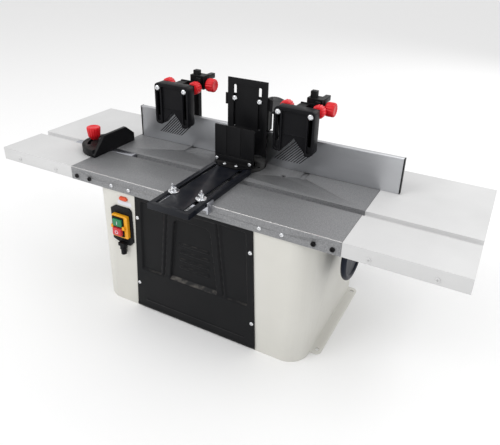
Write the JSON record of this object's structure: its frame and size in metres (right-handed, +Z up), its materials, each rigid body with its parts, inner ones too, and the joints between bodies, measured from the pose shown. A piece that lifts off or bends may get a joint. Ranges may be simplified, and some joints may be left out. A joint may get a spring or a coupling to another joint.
{
  "type": "router table",
  "caption": "Bench-top router table with extension trays, split fence, comb pressers, top guard, front shoe, mitre gauge, motor lift and sheet-metal cabinet.",
  "frame": {"origin": "on the floor, at the middle of the four foot holes, under the middle of the table", "axes": "+X to the operator's right along the tables, +Y from the operator to the back, +Z up"},
  "size_m": [1.03, 0.442, 0.494],
  "materials": {
    "ground_iron": "ground top and hammered sides",
    "cream_paint": "smooth semi-gloss enamel",
    "white_paint": "smooth semi-gloss enamel",
    "black_paint": "satin black enamel",
    "navy_paint": "satin dark enamel",
    "black_plastic": "satin moulded",
    "red_plastic": "moulded, slightly glossy",
    "green_plastic": "moulded, slightly glossy",
    "orange_plastic": "moulded, slightly glossy",
    "yellow_plastic": "moulded, slightly glossy",
    "bright_steel": "turned and drawn bright steel",
    "zinc_plate": "bright zinc plate",
    "fence_alloy": "satin anodised extrusion",
    "cast_alloy": "as-cast",
    "bush_bronze": "turned bronze"
  },
  "bodies": {
    "stand": {"main_table": "ground_iron", "table_insert": "black_paint", "left_extension": "white_paint", "right_extension": "white_paint", "extension_rails": "bright_steel", "left_leg": "cream_paint", "right_leg": "cream_paint", "front_panel": "black_paint", "rear_panel": "black_paint", "pan_screws": "zinc_plate", "rail_screws": "black_paint", "switch_plate": "black_plastic", "switch_housing": "yellow_plastic", "cable_gland": "black_plastic", "shoe_guide": "bright_steel", "guide_columns": "bright_steel", "gear_bracket": "cast_alloy", "shaft_bush": "bush_bronze"},
    "start": {"start_button": "green_plastic"},
    "stop": {"stop_button": "red_plastic"},
    "reset": {"reset_button": "orange_plastic"},
    "lift": {"motor_carriage": "cast_alloy", "motor": "black_paint"},
    "screw": {"lead_screw": "bright_steel"},
    "wheel": {"handwheel": "navy_paint", "cross_shaft": "bright_steel"},
    "crank": {"crank_handle": "black_plastic"},
    "spindle": {"spindle": "bright_steel", "collet_nut": "bright_steel", "cutter": "bright_steel"},
    "fence": {"fence_base": "black_paint", "dust_hood": "black_plastic", "guard_bracket": "black_paint", "guard_screws": "zinc_plate"},
    "guard": {"guard_plate": "black_paint"},
    "left_face": {"left_fence": "fence_alloy"},
    "right_face": {"right_fence": "fence_alloy"},
    "left_fence_clamp": {"left_fence_knob": "black_plastic"},
    "right_fence_clamp": {"right_fence_knob": "black_plastic"},
    "shoe": {"shoe_carrier": "black_plastic", "shoe_angle": "black_paint", "shoe_plate": "black_paint", "shoe_screws": "zinc_plate"},
    "left_wing": {"left_wing_nut": "zinc_plate"},
    "right_wing": {"right_wing_nut": "zinc_plate"},
    "gauge_bar": {"mitre_bar": "bright_steel"},
    "gauge_head": {"mitre_head": "black_paint"},
    "gauge_knob": {"mitre_knob": "red_plastic"},
    "left_slide": {"left_clamp": "black_paint"},
    "left_slide_knob": {"left_clamp_knob": "red_plastic"},
    "left_reach": {"left_arm": "black_paint"},
    "left_press": {"left_comb": "black_plastic"},
    "left_inner": {"left_inner_knob": "red_plastic"},
    "left_outer": {"left_outer_knob": "red_plastic"},
    "right_slide": {"right_clamp": "black_paint"},
    "right_slide_knob": {"right_clamp_knob": "red_plastic"},
    "right_reach": {"right_arm": "black_paint"},
    "right_press": {"right_comb": "black_plastic"},
    "right_inner": {"right_inner_knob": "red_plastic"},
    "right_outer": {"right_outer_knob": "red_plastic"}
  },
  "joints": [
    {"name": "handwheel_turn", "type": "hinge", "parent": "stand", "child": "wheel", "pos_m": [0.282, -0.03, 0.21], "axis": [-1, 0, 0], "range_deg": [0, 3510]},
    {"name": "lead_turn", "type": "hinge", "parent": "stand", "child": "screw", "pos_m": [0.072, -0.03, 0.12], "axis": [0, 0, -1], "range_deg": [0, 3510]},
    {"name": "motor_lift", "type": "slide", "parent": "stand", "child": "lift", "axis": [0, 0, 1], "range_m": [0, 0.0391]},
    {"name": "crank_spin", "type": "hinge", "parent": "wheel", "child": "crank", "pos_m": [0.31, 0.022, 0.212], "axis": [1, 0, 0], "continuous": true},
    {"name": "spindle_spin", "type": "hinge", "parent": "lift", "child": "spindle", "pos_m": [0, 0.025, 0.24], "axis": [0, 0, 1], "continuous": true},
    {"name": "start_press", "type": "slide", "parent": "stand", "child": "start", "axis": [0, 1, 0], "range_m": [0, 0.003], "stiffness_N_per_m": 300},
    {"name": "stop_press", "type": "slide", "parent": "stand", "child": "stop", "axis": [0, 1, 0], "range_m": [0, 0.004], "stiffness_N_per_m": 300},
    {"name": "reset_press", "type": "slide", "parent": "stand", "child": "reset", "axis": [0, 1, 0], "range_m": [0, 0.002], "stiffness_N_per_m": 300},
    {"name": "fence_slide", "type": "slide", "parent": "stand", "child": "fence", "axis": [0, 1, 0], "range_m": [-0.03, 0.035]},
    {"name": "left_face_slide", "type": "slide", "parent": "fence", "child": "left_face", "axis": [1, 0, 0], "range_m": [-0.05, 0.02]},
    {"name": "right_face_slide", "type": "slide", "parent": "fence", "child": "right_face", "axis": [1, 0, 0], "range_m": [-0.02, 0.05]},
    {"name": "guard_height", "type": "slide", "parent": "fence", "child": "guard", "axis": [0, 0, 1], "range_m": [0, 0.055]},
    {"name": "left_fence_clamp_turn", "type": "hinge", "parent": "fence", "child": "left_fence_clamp", "pos_m": [-0.146, 0.104, 0.32], "axis": [0, 0, 1], "continuous": true},
    {"name": "right_fence_clamp_turn", "type": "hinge", "parent": "fence", "child": "right_fence_clamp", "pos_m": [0.146, 0.104, 0.32], "axis": [0, 0, 1], "continuous": true},
    {"name": "shoe_slide", "type": "slide", "parent": "stand", "child": "shoe", "axis": [0, 1, 0], "range_m": [-0.14, 0.018]},
    {"name": "left_wing_turn", "type": "hinge", "parent": "stand", "child": "left_wing", "pos_m": [-0.031, -0.187, 0.33], "axis": [0, 0, 1], "continuous": true},
    {"name": "right_wing_turn", "type": "hinge", "parent": "stand", "child": "right_wing", "pos_m": [0.031, -0.187, 0.33], "axis": [0, 0, 1], "continuous": true},
    {"name": "left_height", "type": "slide", "parent": "fence", "child": "left_slide", "axis": [0, 0, 1], "range_m": [-0.018, 0.015]},
    {"name": "left_height_knob_turn", "type": "hinge", "parent": "left_slide", "child": "left_slide_knob", "pos_m": [-0.112, 0.0745, 0.459], "axis": [1, 0, 0], "continuous": true},
    {"name": "left_reach_slide", "type": "slide", "parent": "left_slide", "child": "left_reach", "axis": [0, 1, 0], "range_m": [-0.03, 0.004]},
    {"name": "left_comb_height", "type": "slide", "parent": "left_reach", "child": "left_press", "axis": [0, 0, 1], "range_m": [0, 0.055]},
    {"name": "left_inner_knob_turn", "type": "hinge", "parent": "left_reach", "child": "left_inner", "pos_m": [-0.133, 0.04, 0.456], "axis": [0, 1, 0], "continuous": true},
    {"name": "left_outer_knob_turn", "type": "hinge", "parent": "left_reach", "child": "left_outer", "pos_m": [-0.203, 0.04, 0.456], "axis": [0, 1, 0], "continuous": true},
    {"name": "right_height", "type": "slide", "parent": "fence", "child": "right_slide", "axis": [0, 0, 1], "range_m": [-0.018, 0.015]},
    {"name": "right_height_knob_turn", "type": "hinge", "parent": "right_slide", "child": "right_slide_knob", "pos_m": [0.174, 0.0745, 0.451], "axis": [1, 0, 0], "continuous": true},
    {"name": "right_reach_slide", "type": "slide", "parent": "right_slide", "child": "right_reach", "axis": [0, 1, 0], "range_m": [-0.03, 0.004]},
    {"name": "right_comb_height", "type": "slide", "parent": "right_reach", "child": "right_press", "axis": [0, 0, 1], "range_m": [0, 0.055]},
    {"name": "right_inner_knob_turn", "type": "hinge", "parent": "right_reach", "child": "right_inner", "pos_m": [0.093, 0.04, 0.452], "axis": [0, 1, 0], "continuous": true},
    {"name": "right_outer_knob_turn", "type": "hinge", "parent": "right_reach", "child": "right_outer", "pos_m": [0.163, 0.04, 0.452], "axis": [0, 1, 0], "continuous": true},
    {"name": "gauge_slide", "type": "slide", "parent": "stand", "child": "gauge_bar", "axis": [1, 0, 0], "range_m": [-0.09, 0.19]},
    {"name": "gauge_swing", "type": "hinge", "parent": "gauge_bar", "child": "gauge_head", "pos_m": [-0.304, -0.0605, 0.315], "axis": [0, 0, 1], "range_deg": [-45, 45]},
    {"name": "gauge_knob_turn", "type": "hinge", "parent": "gauge_bar", "child": "gauge_knob", "pos_m": [-0.348, -0.0605, 0.33], "axis": [0, 0, 1], "continuous": true}
  ],
  "couplings": [
    {"joint": "lead_turn", "follows": "handwheel_turn", "ratio": 1},
    {"joint": "motor_lift", "follows": "handwheel_turn", "m_per_rad": 0.00063662}
  ]
}
